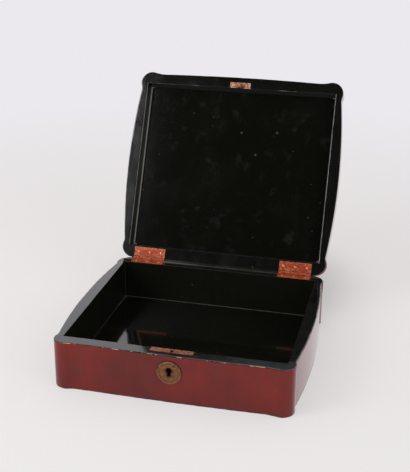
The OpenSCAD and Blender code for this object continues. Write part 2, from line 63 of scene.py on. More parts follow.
nodes = frame["nodes"]
sharpAngle = 34  # degrees above which an edge stays sharp
print("frame loaded:", len(nodes), "nodes")


# Small helpers for meshes

def addObject(name, data):
    made = bpy.data.objects.new(name, data)
    bpy.context.scene.collection.objects.link(made)
    return made


def makeObject(name, points, faces, body, masks=None, crease=sharpAngle):
    # One closed mesh. The sign of its volume, summed over corner triangles, turns the faces outwards.
    points = np.asarray(points, float)
    fan = [(f[0], f[i], f[i + 1]) for f in faces for i in range(1, len(f) - 1)]
    a, b, c = (points[i] for i in np.array(fan).T)
    if np.einsum("ij,ij->i", a, np.cross(b, c)).sum() < 0:
        faces = [f[::-1] for f in faces]
    mesh = bpy.data.meshes.new(name)
    mesh.from_pydata(points.tolist(), [], faces)
    for key, values in (masks or {}).items():
        layer = mesh.attributes.new(key, "FLOAT", "POINT")
        layer.data.foreach_set("value", np.asarray(values, np.float32).ravel())
    mesh.shade_smooth()
    mesh.set_sharp_from_angle(angle=radians(crease))
    mesh.update()
    piece = addObject(name, mesh)
    if body:
        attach(piece, body)
    return piece


def gridFaces(rows, columns, loopRows, loopColumns):
    # Quads between rows and columns; open ends are closed by a many-sided cap
    index = np.arange(rows * columns).reshape(rows, columns)
    low = index if loopRows else index[:-1]
    high = np.roll(index, -1, 0) if loopRows else index[1:]
    if loopColumns:
        quads = np.stack([low, np.roll(low, -1, 1), np.roll(high, -1, 1), high], -1)
    else:
        quads = np.stack([low[:, :-1], low[:, 1:], high[:, 1:], high[:, :-1]], -1)
    faces = quads.reshape(-1, 4).tolist()
    if not loopRows:
        faces += [index[0, ::-1].tolist(), index[-1].tolist()]
    if not loopColumns:
        faces += [index[:, 0].tolist(), index[::-1, -1].tolist()]
    return faces


def circleOf(count):
    # Even angles once round
    return np.linspace(0, 2 * pi, count, endpoint=False)


def block(low, high):
    # A plain box between two corners, used only to cut with
    corners = np.array([[(high if i >> k & 1 else low)[k] for k in range(3)] for i in range(8)])
    faces = [[0, 2, 3, 1], [4, 5, 7, 6], [0, 1, 5, 4], [2, 6, 7, 3], [0, 4, 6, 2], [1, 3, 7, 5]]
    return makeObject("cutter", corners, faces, None)


def prism(outline, low, high, place):
    # To cut with: an outline from low to high; place turns (outline, depth) into points
    ends = [place(outline, depth) for depth in (low, high)]
    return makeObject("cutter", np.concatenate(ends), gridFaces(2, len(outline), False, True), None)


def bake(piece):
    # The modifiers' result becomes the piece's own mesh
    graph = bpy.context.evaluated_depsgraph_get()
    finished = bpy.data.meshes.new_from_object(piece.evaluated_get(graph))
    piece.modifiers.clear()
    piece.data = finished


def pointsOf(mesh):
    flat = np.zeros(len(mesh.vertices) * 3, np.float32)
    mesh.vertices.foreach_get("co", flat)
    return flat.reshape(-1, 3)


def masksOf(mesh):
    found = {}
    for layer in mesh.attributes:
        if layer.domain == "POINT" and layer.data_type == "FLOAT":
            found[layer.name] = np.zeros(len(mesh.vertices), np.float32)
            layer.data.foreach_get("value", found[layer.name])
    return found


def carve(piece, cutters):
    # Cut, then give each new point the masks of the nearest point of the whole piece
    before, wholeMasks = pointsOf(piece.data), masksOf(piece.data)
    for cutter in cutters:
        cut = piece.modifiers.new("cut", "BOOLEAN")
        cut.operation, cut.solver, cut.object = "DIFFERENCE", "EXACT", cutter
    bake(piece)
    for cutter in cutters:
        bpy.data.objects.remove(cutter)
    after = pointsOf(piece.data)
    places = np.concatenate([before, after]).round(6) + 0.0
    which = np.unique(places, axis=0, return_inverse=True)[1].ravel()
    fresh = ~np.isin(which[len(before):], which[:len(before)])
    nearest = ((after[fresh, None] - before[None]) ** 2).sum(-1).argmin(1)
    for key, values in masksOf(piece.data).items():
        values[fresh] = wholeMasks[key][nearest]
        piece.data.attributes[key].data.foreach_set("value", values)
    piece.data.set_sharp_from_angle(angle=radians(sharpAngle))


def evenNormals(piece):
    # Flat faces keep their own direction right up to a rounded edge
    even = piece.modifiers.new("even normals", "WEIGHTED_NORMAL")
    even.keep_sharp, even.weight = True, 100


def ripple(length, total, waves, seed):
    # Smooth, closed, seeded waviness between about -1 and 1 along a loop
    rng = np.random.default_rng(seed)
    phase, size = rng.uniform(0, 2 * pi, len(waves)), rng.uniform(0.5, 1, len(waves))
    angle = 2 * pi * np.outer(length / total, waves) + phase
    return (np.sin(angle) * size).sum(1) / size.sum() * 1.6


def lowOf(name):
    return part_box(name)[0]


def highOf(name):
    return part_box(name)[1]


# Plan of the box

plan = {
    "sideBow": 0.005, "sideRadius": 0.74, "endDip": 0.0006, "endRadius": 3.2,
    "earRadius": 0.014, "sideSweep": 0.012, "endSweep": 0.052, "hingeSide": 0.1204,
    "steps": (22, 8, 36, 14, 22),  # along half a side, its sweep, an ear, the end's sweep, half an end
}
halfWidth = highOf("right_wall").x - plan["sideBow"]
halfDepth = -lowOf("front_wall").y


def meeting(c1, r1, c2, r2, turn):
    # Where two circles meet
    d = norm(c2 - c1)
    u = (c2 - c1) / d
    x = (r1 * r1 - r2 * r2 + d * d) / (2 * d)
    return c1 + u * x + turn * sqrt(r1 * r1 - x * x) * np.array([-u[1], u[0]])


def bearing(p, q):
    return atan2(q[1] - p[1], q[0] - p[0])


def planLoop():
    # Five arcs make a quarter, each centre + radius * (cos, sin), and mirrored copies close the loop. The
    # hinged side is drawn out straight between the ears, so that lid and wall meet there.
    rs, re, r1, r2, r0 = (plan[k] for k in ("sideRadius", "endRadius", "sideSweep", "endSweep", "earRadius"))
    ear = np.array([halfWidth, halfDepth]) - r0
    side = np.array([halfWidth + plan["sideBow"] - rs, 0])
    end = np.array([0, halfDepth - plan["endDip"] - re])
    sweepA = meeting(side, rs + r1, ear, r0 + r1, -1)
    sweepB = meeting(end, re + r2, ear, r0 + r2, 1)
    arcs = [
        (side, rs, 0, bearing(side, sweepA), 1),
        (sweepA, r1, pi + bearing(side, sweepA), pi + bearing(ear, sweepA), -1),
        (ear, r0, bearing(ear, sweepA), bearing(ear, sweepB), 1),
        (sweepB, r2, bearing(sweepB, ear), bearing(sweepB, end), -1),
        (end, re, bearing(end, sweepB), pi / 2, 1),
    ]
    spots, faces = [], []
    for (centre, radius, start, stop, outward), count in zip(arcs, plan["steps"]):
        angle = start + (stop - start) * np.arange(count) / count
        ray = np.stack([np.cos(angle), np.sin(angle)], 1)
        spots.append(centre + radius * ray)
        faces.append(outward * ray)
    p, n = np.concatenate(spots), np.concatenate(faces)
    flipX, flipY = np.array([-1, 1]), np.array([1, -1])
    middle = np.array([[0, end[1] + re]])
    loop = np.concatenate([p, middle, p[::-1] * flipX, -p[1:], -middle, p[:0:-1] * flipY])
    out = np.concatenate([n, [[0, 1]], n[::-1] * flipX, -n[1:], [[0, -1]], n[:0:-1] * flipY])
    straight = (loop[:, 1] > 0) & (np.abs(loop[:, 0]) < ear[0]) & (loop[:, 1] < plan["hingeSide"])
    loop[straight, 1], out[straight] = plan["hingeSide"], (0, 1)
    steps = norm(np.roll(loop, -1, 0) - loop, axis=1)
    return loop, out, np.concatenate([[0], np.cumsum(steps)])


loopPoints, loopNormals, loopLength = planLoop()


def alongLoop(k):
    # Point, outward normal and length at fractional places on the loop
    base = np.floor(k).astype(int)
    share = (k - base)[:, None]
    here, there = base % len(loopPoints), (base + 1) % len(loopPoints)
    point = loopPoints[here] * (1 - share) + loopPoints[there] * share
    normal = loopNormals[here] * (1 - share) + loopNormals[there] * share
    length = loopLength[here] * (1 - share[:, 0]) + loopLength[here + 1] * share[:, 0]
    return point, normal / norm(normal, axis=1)[:, None], length


def mitreAt(corner, sx, sy):
    # Place on the loop where the mitre from an inside corner comes out through the ear
    ray = np.array([sx * halfWidth, sy * halfDepth]) - corner
    away = loopPoints - corner
    side = ray[0] * away[:, 1] - ray[1] * away[:, 0]
    near = (loopPoints[:, 0] * sx > abs(corner[0])) & (loopPoints[:, 1] * sy > abs(corner[1]))
    i = np.flatnonzero(near & (side * np.roll(side, -1) <= 0))[0]
    return i + side[i] / (side[i] - side[(i + 1) % len(side)])


# Frames of four mitred sides: the walls and the rails

sides = {
    "rear": ((1, 1), (-1, 1)), "left": ((-1, 1), (-1, -1)),
    "front": ((-1, -1), (1, -1)), "right": ((1, -1), (1, 1)),
}
arris = {"wander": 0.35, "slim": 0.94, "slimFrom": 0.9, "slimOver": 0.09}
quarterTurn = np.linspace(0, pi / 2, 6)


def row(outer, inset, height, edge=0, red=0, joint=0, rim=0):
    # One line of a section, on the outside or round the opening. Inset and height are each a fixed part and
    # a share of the arris radius; the rest are the masks that the lacquer reads.
    return (outer, *inset, *height, edge, red, joint, rim)


def rimRows(settings, z, up):
    # Quarter round from the outer face onto the rim, the rim itself, and a quarter round into the opening
    size, wear = settings["innerArris"]
    turns = [(sin(a), cos(a), sin(2 * a)) for a in quarterTurn]
    rows = [row(1, (0, 1 - c), (z, up * (1 - s)), worn, red=1 - s, rim=s) for s, c, worn in turns]
    rows += [row(outer, (settings["support"], 1), (z, 0), rim=1) for outer in (1, 0)]
    for s, c, worn in turns:
        rows.append(row(0, (0, size * (1 - s)), (z, up * size * (1 - c)), wear * worn, rim=1 - s))
    return rows


def frameSide(side, rows, settings, opening, name, body, place=None):
    # Each row of the section is carried along the plan, drawn in from the outside or out from the opening.
    # The radius wanders a little along worn arrises and is small along the hinged side, where lid meets wall.
    first, last = sides[side]
    starts, stops = (
        np.array([sx * opening["x"], opening["rear" if sy > 0 else "front"]]) for sx, sy in sides[side]
    )
    k0, k1 = mitreAt(starts, *first), mitreAt(stops, *last)
    k1 += len(loopPoints) if k1 < k0 else 0
    between = np.arange(np.floor(k0) + 1, np.ceil(k1))
    point, normal, length = alongLoop(np.concatenate([[k0], between, [k1]]))
    axis = 0 if side in ("front", "rear") else 1
    t = (point[:, axis] - point[0, axis]) / (point[-1, axis] - point[0, axis])
    outer, fixed, share, z0, z1, edge, red, joint, rim = np.array(rows, float).T
    onOutside = outer > 0.5
    wavy = 1 + arris["wander"] * ripple(length, loopLength[-1], settings["waves"], settings["seed"])
    slim = 1 - arris["slim"] * np.clip((normal[:, 1] - arris["slimFrom"]) / arris["slimOver"], 0, 1)
    radius = (settings["arris"] * wavy)[:, None] * np.where(onOutside, slim[:, None], 1)
    edge = edge * np.where(onOutside, settings["wear"]["outer"], settings["wear"][side])
    inset = fixed + radius * share
    height = z0 + radius * z1
    outside = point[:, None] - inset[..., None] * normal[:, None]
    spread = inset[..., None] + 0 * outside
    starts = starts + spread * np.array(first)
    stops = stops + spread * np.array(last)
    within = starts + t[:, None, None] * (stops - starts)
    flat = np.where(onOutside[:, None], outside, within)
    points = np.concatenate([flat, height[..., None]], -1).reshape(-1, 3)
    ends = (np.minimum(t, 1 - t) < 1e-4)[:, None]
    plainInside = (outer < 0.5) * (red < 0.5) * (joint + rim < 0.5)
    joint = joint * settings["jointDust"][side] + ends * plainInside * settings["cornerDust"]
    masks = {"edge": edge, "red": red, "joint": joint, "rim": rim}
    masks = {key: np.broadcast_to(values, height.shape) for key, values in masks.items()}
    faces = gridFaces(*height.shape, False, True)
    return makeObject(name, place(points) if place else points, faces, body, masks)


# Walls of the box

walls = {
    "arris": 0.0012, "support": 0.0006, "innerArris": (0.5, 0.6), "rebate": 0.005, "dust": 0.0022,
    "waves": (9, 17, 31, 53, 88), "seed": 5, "cornerDust": 1.2,
    "jointDust": {"rear": 0.7, "left": 0.6, "front": 0.4, "right": 0.5},
    "wear": dict.fromkeys((*sides, "outer"), 1),
}
rimZ = highOf("front_wall").z
floorZ = highOf("bottom_board").z
inside = {"x": -highOf("left_wall").x, "front": highOf("front_wall").y, "rear": lowOf("rear_wall").y}


def wallRows():
    # Bottom arris, outer face, rim, inner face, ledge over the bottom board, foot
    s, r, d = walls["support"], walls["rebate"], walls["dust"]
    rows = [row(1, (s, 1), (0, 0))]
    # The bottom arris stays black and turns red just above it: a black foot, partly painted contact shadow
    for a in quarterTurn:
        worn = max(sin(2 * a), sin(a) ** 4)
        rows.append(row(1, (0, 1 - sin(a)), (0, 1 - cos(a)), worn))
    rows.append(row(1, (0, 0), (s / 3, 1), edge=0.6, red=0.2))
    rows += [row(1, (0, 0), height, red=1) for height in ((s, 1), (rimZ / 2, 0), (rimZ - s, -1))]
    rows += rimRows(walls, rimZ, -1)
    rows += [row(0, (0, 0), height) for height in ((rimZ - s, -0.5), (floorZ + d, 0))]
    rows.append(row(0, (0, 0), (floorZ + d / 3, 0), joint=0.6))
    rows += [row(0, (inset, 0), (floorZ, 0), joint=1) for inset in (0, r)]
    return rows + [row(0, (r, 0), (0, 0))]


wallPieces = {s: frameSide(s, wallRows(), walls, inside, s + "WallLacquered", "box") for s in sides}
for side, piece in wallPieces.items():
    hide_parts(side + "_wall")
print("walls made")


# Rails of the lid, worked out shut and then turned open

hinge = next(j for j in frame["joints"] if j["name"] == "lid_hinge")
axisY, axisZ = hinge["pos_m"][1:]
lid = {
    "gap": 0.0003, "railHeight": 0.014, "panel": 0.008, "edgeRadius": 0.005, "crown": 0.0015, "lean": 0.002,
    "openAngle": -hinge["range_deg"][0], "arris": 0.0008, "support": 0.0006, "innerArris": (1, 1.25),
    # Joint dust on the lid is strongest on the left, where it is also a painted highlight; cleanRight shifts
    # the panel's joint line outwards on the right
    "dust": 0.0022, "waves": (7, 19, 37, 59, 83), "seed": 8, "cornerDust": 0.4, "cleanRight": 0.0012,
    "mouth": {"x": 0.121, "front": -0.1054, "rear": 0.1045},
    "jointDust": {"rear": 0.15, "left": 1.0, "front": 0.3, "right": 0.3},
    "wear": {"rear": 0.6, "left": 1.0, "front": 0.72, "right": 0.92, "outer": 0.88},
    "underShares": (0.002, 0.3, 0.6, 0.85, 0.99),
    "crownShares": (0.97, 0.9, 0.8, 0.65, 0.5, 0.35, 0.2, 0.1, 0.002),
}
lidZ, panelZ = rimZ + lid["gap"], rimZ + lid["gap"] + lid["railHeight"]


def openLid(points):
    # Turned about the hinge axis, from shut to where the lid stands
    a = radians(lid["openAngle"])
    y, z = points[..., 1] - axisY, points[..., 2] - axisZ
    y, z = axisY + y * cos(a) + z * sin(a), axisZ - y * sin(a) + z * cos(a)
    return np.stack([points[..., 0], y, z], -1)


def railRows():
    # Outer face, rim, leaning wall of the hollow, face under the panel
    tall, d = lid["railHeight"], lid["dust"]
    rows = [row(1, (0, 0), height, red=1) for height in ((panelZ, 0), (lidZ + lid["support"], 1))]
    rows += rimRows(lid, lidZ, 1)
    for drop, joint in ((d, 0), (d * 0.7, 1), (0, 1)):
        rows.append(row(0, (-lid["lean"] * (tall - drop) / tall, 0), (panelZ - drop, 0), joint=joint))
    return rows


railPieces = {
    s: frameSide(s, railRows(), lid, lid["mouth"], s + "RailLacquered", "lid", openLid) for s in sides
}
for side, piece in railPieces.items():
    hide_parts("lid_" + side + "_rail")


def planRing(inset, z, share=1.0):
    flat = (loopPoints - inset * loopNormals) * share
    return np.concatenate([flat, np.full((len(flat), 1), z)], 1)


def topPanel():
    # Rings of the plan: in from the middle of the underside, up the side, over the rounded edge, and in over
    # a low crown that rises by crown * (1 - (x / halfX) squared) * (1 - (y / halfY) squared)
    top, r, m = panelZ + lid["panel"], lid["edgeRadius"], lid["mouth"]
    under = [planRing(0, panelZ, share) for share in lid["underShares"]]
    side = [planRing(0, panelZ), planRing(0, top - r)]
    bend = np.linspace(0, pi / 2, 9)[1:]
    edge = [planRing(r * (1 - cos(a)), top - r * (1 - sin(a))) for a in bend]
    crown = [planRing(r, top, share) for share in lid["crownShares"]]
    for ring in crown:
        share = ring[:, :2] / np.abs(edge[-1][:, :2]).max(0)
        ring[:, 2] += lid["crown"] * np.clip(1 - share * share, 0, 1).prod(1)
    grid = np.array(under + side + edge + crown)
    red = np.zeros(grid.shape[:2])
    red[len(under):] = 1
    middleY, halfY = (m["rear"] + m["front"]) / 2, (m["rear"] - m["front"]) / 2
    fromX = np.abs(grid[..., 0]) - (m["x"] - lid["lean"]) - lid["cleanRight"] * (grid[..., 0] > 0)
    fromY = np.abs(grid[..., 1] - middleY) - (halfY - lid["lean"])
    masks = {"red": red, "fromX": fromX, "fromY": fromY}
    points, faces = openLid(grid.reshape(-1, 3)), gridFaces(*grid.shape[:2], False, True)
    piece = makeObject("lidTopLacquered", points, faces, "lid", masks, 30)
    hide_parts("lid_top_panel")
    return piece


topPiece = topPanel()
print("lid made")


# Keyhole, lock seat and hinge recesses cut into the lacquered wood

keyhole = {"radius": 0.0031, "slot": 0.0028, "foot": 0.0042, "height": 0.0096, "drop": 0.0165}
keyZ = rimZ - keyhole["drop"]
seats = {"reach": 0.002, "slack": 0.0001, "strip": 0.0012, "leaf": 0.0012, "knuckle": 0.0025}
reach, slack = seats["reach"], seats["slack"]  # past the face that a cut opens, and round a fitting


def keyholeOutline(count=40):
    # An arc from one side of the slot round to the other, then down to the wider foot
    r, w, f = keyhole["radius"], keyhole["slot"] / 2, keyhole["foot"] / 2
    drop = keyhole["height"] - r
    gap = asin(w / r)
    angle = np.linspace(-pi / 2 + gap, 1.5 * pi - gap, count)
    arc = np.stack([r * np.cos(angle), r * np.sin(angle)], 1)
    return np.concatenate([arc, [[-w, -drop / 2], [-f, -drop], [f, -drop], [w, -drop / 2]]])


def upright(outline, depth):
    # Outline in X and Z about the keyhole's round part, at a depth along Y
    return np.stack([outline[:, 0], np.full(len(outline), depth), keyZ + outline[:, 1]], 1)


def acrossHinge(outline, depth):
    # Outline in Y and Z about the hinge axis, at a depth along X
    return np.stack([np.full(len(outline), depth), axisY + outline[:, 0], axisZ + outline[:, 1]], 1)


def knuckleRoom(x0, x1):
    # A round bar along the hinge axis
    angle = circleOf(32)
    circle = seats["knuckle"] * np.stack([np.cos(angle), np.sin(angle)], 1)
    return prism(circle, x0 - lid["gap"], x1 + lid["gap"], acrossHinge)


def shutCut(cutter):
    # A cut worked out with the lid shut, turned open with it
    cutter.data.vertices.foreach_set("co", openLid(pointsOf(cutter.data)).astype(np.float32).ravel())
    cutter.data.update()
    return cutter


def frontCuts():
    # The keyhole, the seats of the back plate and of its strip, and the pocket for the works
    face, top = inside["front"], rimZ + reach
    plate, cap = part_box("lock_plate"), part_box("lock_cap")
    x0, x1 = plate[0].x - slack, plate[1].x + slack
    return [
        prism(keyholeOutline(), lowOf("front_wall").y - reach, face + reach, upright),
        block([x0, face - seats["strip"], plate[0].z - slack], [x1, face + reach, top]),
        block([x0, plate[0].y - slack, rimZ - seats["strip"]], [x1, face + reach, top]),
        block([v - slack for v in cap[0]], [cap[1].x + slack, face + reach, top]),
    ]


carve(wallPieces["front"], frontCuts())

hingeNames = ("left", "right")
leafSpan = {h: (lowOf(f"hinge_{h}_base_leaf").x, highOf(f"hinge_{h}_base_leaf").x) for h in hingeNames}
rearCuts, railCuts = [], []
leafY = lowOf("hinge_left_base_leaf").y
for x0, x1 in leafSpan.values():
    rearCuts += [block([x0, leafY, rimZ - seats["leaf"]], [x1, axisY, rimZ + reach]), knuckleRoom(x0, x1)]
    leafSeat = block([x0, leafY, lidZ - reach], [x1, axisY, lidZ + seats["leaf"]])
    railCuts += [shutCut(leafSeat), shutCut(knuckleRoom(x0, x1))]
carve(wallPieces["rear"], rearCuts)
carve(railPieces["rear"], railCuts)

catch = {"width": 0.026, "depth": 0.0072, "thick": 0.0012, "inset": 0.0003, "nailX": 0.0082}
catchIn = lid["mouth"]["front"] - catch["inset"]
catchOut = catchIn - catch["depth"]
catchSeat = block([-catch["width"] / 2 - slack, catchOut - slack, lidZ - reach],
                  [catch["width"] / 2 + slack, catchIn + slack, lidZ + catch["thick"]])
carve(railPieces["front"], [shutCut(catchSeat)])
for piece in [*wallPieces.values(), *railPieces.values(), topPiece]:
    evenNormals(piece)
print("seats cut")


# Fittings that keep the frame's shape, with their edges softened

fittings = {  # node: name, body, slot, width of the soft edge, metal
    "lock_plate": ("lockPlate", "box", "red_brass", 0.00025, "stripCopper"),
    "catch_plate": ("catchPlate", "lid", "red_brass", 0.00025, "catchCopper"),
    "hinge_left_base_leaf": ("leftBaseLeaf", "box", "red_brass", 0.00018, "copper"),
    "hinge_right_base_leaf": ("rightBaseLeaf", "box", "red_brass", 0.00018, "copper"),
    "hinge_left_lid_leaf": ("leftLidLeaf", "lid", "red_brass", 0.00018, "copper"),
    "hinge_right_lid_leaf": ("rightLidLeaf", "lid", "red_brass", 0.00018, "copper"),
    "catch_eye": ("catchEye", "lid", "brass", 0.0002, "worksBrass"),
    "lock_bolt": ("lockBolt", "bolt", "brass", 0.0002, "worksBrass"),
    "lock_cap": ("lockCap", "box", "brass", 0.00012, "worksBrass"),
}
softening = {"flatUnder": 1.5, "roundOver": 40, "sharpOver": 50}  # degrees between faces


def softened(nodeName):
    # The frame's own shape with its corners joined, its flat faces made whole and its edges rounded
    name, body, slotName, width, _ = fittings[nodeName]
    source = nodes[nodeName].data
    points, which = np.unique(pointsOf(source).round(7), axis=0, return_inverse=True)
    corners = np.zeros(len(source.polygons) * 3, int)
    source.polygons.foreach_get("vertices", corners)
    triangles = which.ravel()[corners].reshape(-1, 3)
    whole = (triangles != np.roll(triangles, 1, 1)).all(1)
    piece = makeObject(name, points, triangles[whole].tolist(), body)
    flat = piece.modifiers.new("flat faces", "DECIMATE")
    flat.decimate_type, flat.angle_limit = "DISSOLVE", radians(softening["flatUnder"])
    soft = piece.modifiers.new("soft edges", "BEVEL")
    soft.width, soft.segments, soft.limit_method = width, 2, "ANGLE"
    soft.angle_limit = radians(softening["roundOver"])
    bake(piece)
    piece.data.shade_smooth()
    piece.data.set_sharp_from_angle(angle=radians(softening["sharpOver"]))
    evenNormals(piece)
    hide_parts(nodeName)
    return piece


fittingPieces = {n: softened(n) for n in fittings}
print("fittings made")


# Nails and pins: one turned shape, repeated at its places

nail = {
    "head": 0.0014, "shank": 0.0007, "length": 0.008, "dome": 0.0002, "sink": 0.0001, "rim": 0.00022,
    "around": 20, "tilt": 0.025, "grime": (0, 0, 0, 0, 0, 0, 0.35, 1, 1, 1, 1),
}
pin = {**nail, "head": 0.0011, "shank": 0.00055, "length": 0.0048, "proud": 0.0003}


def turnedNails(name, spots, direction, body, replaced, seed, size=nail, place=None):
    # A profile of radius and height turned about its axis; the head is a shallow dome with a soft rim,
    # each copy leaning a little its own way
    rng = np.random.default_rng(seed)
    head, shank, length = size["head"], size["shank"], size["length"]
    bow = np.linspace(0.02, 1, 7) * pi / 2
    radius = np.concatenate([head * np.sin(bow), [head, shank * 1.02, shank, shank * 0.1]])
    dome = size["dome"] * np.cos(bow) - size["sink"]
    height = np.concatenate([dome, [-size["rim"], shank - head, -0.8 * length, -length]])
    turn = circleOf(size["around"])
    one = [np.outer(radius, np.cos(turn)), np.outer(radius, np.sin(turn)), np.outer(height, 1 + 0 * turn)]
    one = np.stack(one, -1).reshape(-1, 3)
    up = np.array(direction, float)
    across = np.array([1.0, 0, 0]) if abs(up[0]) < 0.5 else np.array([0, 1.0, 0])
    points, faces = [], []
    for k, spot in enumerate(spots):
        lean = up + across * rng.normal(0, size["tilt"]) + np.cross(up, across) * rng.normal(0, size["tilt"])
        w = lean / norm(lean)
        u = np.cross(across, w)
        u /= norm(u)
        points.append(np.array(spot) + one @ np.array([u, np.cross(w, u), w]))
        faces += [[i + k * len(one) for i in f] for f in gridFaces(len(radius), len(turn), False, True)]
    points = np.concatenate(points)
    grime = np.tile(np.repeat(size["grime"], len(turn)), len(spots))
    piece = makeObject(name, place(points) if place else points, faces, body, {"grime": grime}, 40)
    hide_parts(replaced)


head = nail["head"]
low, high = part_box("base_hinge_nails")
nailY = (low.y + high.y) / 2
leafMiddle = [sum(leafSpan[h]) / 2 for h in hingeNames]
nailPitch = high.x - head - leafMiddle[1]
spots = [x + i * nailPitch for x in leafMiddle for i in (-1, 0, 1)]
up, down = (0, 0, 1), (0, 0, -1)
onRim, onRail = ([(x, nailY, z) for x in spots] for z in (rimZ, lidZ))
turnedNails("baseHingeNails", onRim, up, "box", "base_hinge_nails", 3)
turnedNails("lidHingeNails", onRail, down, "lid", "lid_hinge_nails", 4, place=openLid)
spots = [(s * catch["nailX"], (catchIn + catchOut) / 2, lidZ) for s in (-1, 1)]
turnedNails("catchNails", spots, down, "lid", "catch_nails", 5, place=openLid)
low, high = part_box("lock_nails")
xs, zs = (low.x + head, high.x - head), (low.z + head, high.z - head)
spots = [(x, inside["front"], z) for x in xs for z in zs]
turnedNails("lockNails", spots, (0, 1, 0), "box", "lock_nails", 6)
low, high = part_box("escutcheon_pins")
head, pinY = pin["head"], low.y + pin["proud"]
spots = [(low.x + head, pinY, low.z + head), (high.x - head, pinY, high.z - head)]
turnedNails("escutcheonPins", spots, (0, -1, 0), "box", "escutcheon_pins", 7, pin)
print("nails made")


# Round keyhole plate

rose = {
    "radius": 0.013, "thick": 0.0012, "ring": 0.0026, "ringHeight": 0.0006, "dome": 0.00015, "soft": 0.00015,
    "ropes": 44, "twist": 2.4, "cut": 0.45, "around": 352, "circleFrom": 0.0072, "domeAt": 0.0085,
    "flatFrom": 0.0096, "groove": 0.0004, "sunk": 0.0001, "lip": 0.0002, "bevel": 0.0006,
}


def keyholePlate():
    # Rows from the keyhole's edge out over the plate and its rope-cut ring, round the rim and back behind.
    # The ring's height is a half circle times 1 + cut * cos(ropes * angle + twist).
    low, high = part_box("escutcheon")
    middle, back = (low.z + high.z) / 2, high.y
    turn = circleOf(rose["around"])
    dense = keyholeOutline(200)
    dense = [np.linspace(p, q, 30, endpoint=False) for p, q in zip(dense, np.roll(dense, -1, 0))]
    away = np.concatenate(dense) + [0, keyZ - middle]
    angle, far = np.arctan2(away[:, 1], away[:, 0]) % (2 * pi), np.hypot(*away.T)
    order = np.argsort(angle)
    hole = np.interp(turn, angle[order], far[order], period=2 * pi)
    r, w, soft, cut = rose["radius"], rose["ring"] / 2, rose["soft"], rose["cut"]
    # Each row round the plate is its radius, its height over the plate's face and its grime
    rows = [(hole + soft * (1 - sin(a)), -soft * (1 - cos(a)), 1) for a in quarterTurn[:0:-1]]
    for share, grime in ((0.15, 1), (0.5, 0.35), (1, 0)):
        rows.append((hole + (rose["circleFrom"] - hole) * share, 0, grime))
    rows += [(rose["domeAt"], rose["dome"], 0), (rose["flatFrom"], 0, 0.2)]
    rows.append((r - 2 * w - rose["groove"], -rose["sunk"], 0.6))
    for s in np.linspace(-0.999, 0.999, 11):
        rope = np.cos(rose["ropes"] * turn + rose["twist"] * s)
        swell = rose["ringHeight"] * sqrt(1 - s * s) * (1 + cut * rope) / (1 + cut)
        grime = 0.45 * (1 - rope) * (1 - 0.5 * abs(s)) + 0.5 * (abs(s) > 0.9)
        rows.append((r - w + w * s, swell, grime))
    rows = [(radius, rose["thick"] + lift, grime) for radius, lift, grime in rows]
    rows += [(r, rose["lip"], 1), (r - rose["bevel"], 0, 0), (hole, 0, 1)]
    radius, height, grime = (np.array([v + 0 * turn for v in column]).T for column in zip(*rows))
    x, z = radius * np.cos(turn)[:, None], middle + radius * np.sin(turn)[:, None]
    points = np.stack([x, back - height, z], -1).reshape(-1, 3)
    faces = gridFaces(*radius.shape, True, True)
    piece = makeObject("keyholePlate", points, faces, "box", {"grime": grime}, 60)
    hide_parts("escutcheon")


keyholePlate()
print("keyhole plate made")


# Shader helpers

class Shade:
    # Builds one node tree; vector is the place that its patterns read, shader the surface that it feeds
    def __init__(self, tree, vector=None, shader=None):
        self.tree, self.vector, self.shader = tree, vector, shader

    def put(self, kind, inputs=None, **settings):
        made = self.tree.nodes.new("ShaderNode" + kind)
        for key, value in settings.items():
            setattr(made, key, value)
        for key, value in (inputs or {}).items():
            if isinstance(value, bpy.types.NodeSocket):
                self.link(value, made.inputs[key])
            else:
                made.inputs[key].default_value = value
        return made.outputs

    def link(self, value, socket):
        self.tree.links.new(value, socket)

    def give(self, key, value):
        self.link(value, self.shader.inputs[key])

    def calc(self, operation, first, *others, clamp=False):
        # Works through any number of values; only the last result is clamped
        others = others or (0.0,)
        for left, value in zip(range(len(others) - 1, -1, -1), others):
            inputs, last = {0: first, 1: value}, left == 0
            first = self.put("Math", inputs, operation=operation, use_clamp=clamp and last)[0]
        return first

    add = partialmethod(calc, "ADD")
    sub = partialmethod(calc, "SUBTRACT")
    mul = partialmethod(calc, "MULTIPLY")
    most = partialmethod(calc, "MAXIMUM")
    below = partialmethod(calc, "LESS_THAN")
    size = partialmethod(calc, "ABSOLUTE")

    def ramp(self, value, start, stop):
        # Smooth step from 0 at start to 1 at stop
        inputs = {"Value": value, "From Min": start, "From Max": stop}
        return self.put("MapRange", inputs, interpolation_type="SMOOTHSTEP")[0]

    def blend(self, share, a, b):
        # Colour from a, where the share is 0, to b
        a, b = (c if isinstance(c, bpy.types.NodeSocket) else (*c, 1) for c in (a, b))
        return self.put("Mix", {0: share, 6: a, 7: b}, data_type="RGBA")[2]

    def grain(self, scale, detail=2.0, rough=0.5, stretch=None, vector=None):
        vector = vector or self.vector
        if stretch:
            vector = self.put("Mapping", {"Vector": vector, "Scale": stretch})[0]
        inputs = {"Vector": vector, "Scale": scale, "Detail": detail, "Roughness": rough}
        return self.put("TexNoise", inputs)[0]

    def noise(self, key):
        return self.grain(*noises[key])

    def xyz(self, vector=None):
        return self.put("SeparateXYZ", {0: vector or self.vector})

    def fromLine(self, spot, axes):
        # Distance from a line through the spot, square to the two axes
        place = self.xyz()
        flat = self.put("CombineXYZ", {k: place[k] for k in axes})[0]
        return self.put("VectorMath", {0: flat, 1: spot}, operation="DISTANCE")["Value"]

    def mask(self, key):
        return self.put("Attribute", attribute_name=key)["Fac"]

    def use(self, group, **inputs):
        return self.put("Group", {"Vector": self.vector, **inputs}, node_tree=group)

    def bump(self, height, strength, distance):
        inputs = {"Height": height, "Strength": strength, "Distance": distance}
        self.give("Normal", self.put("Bump", inputs)[0])


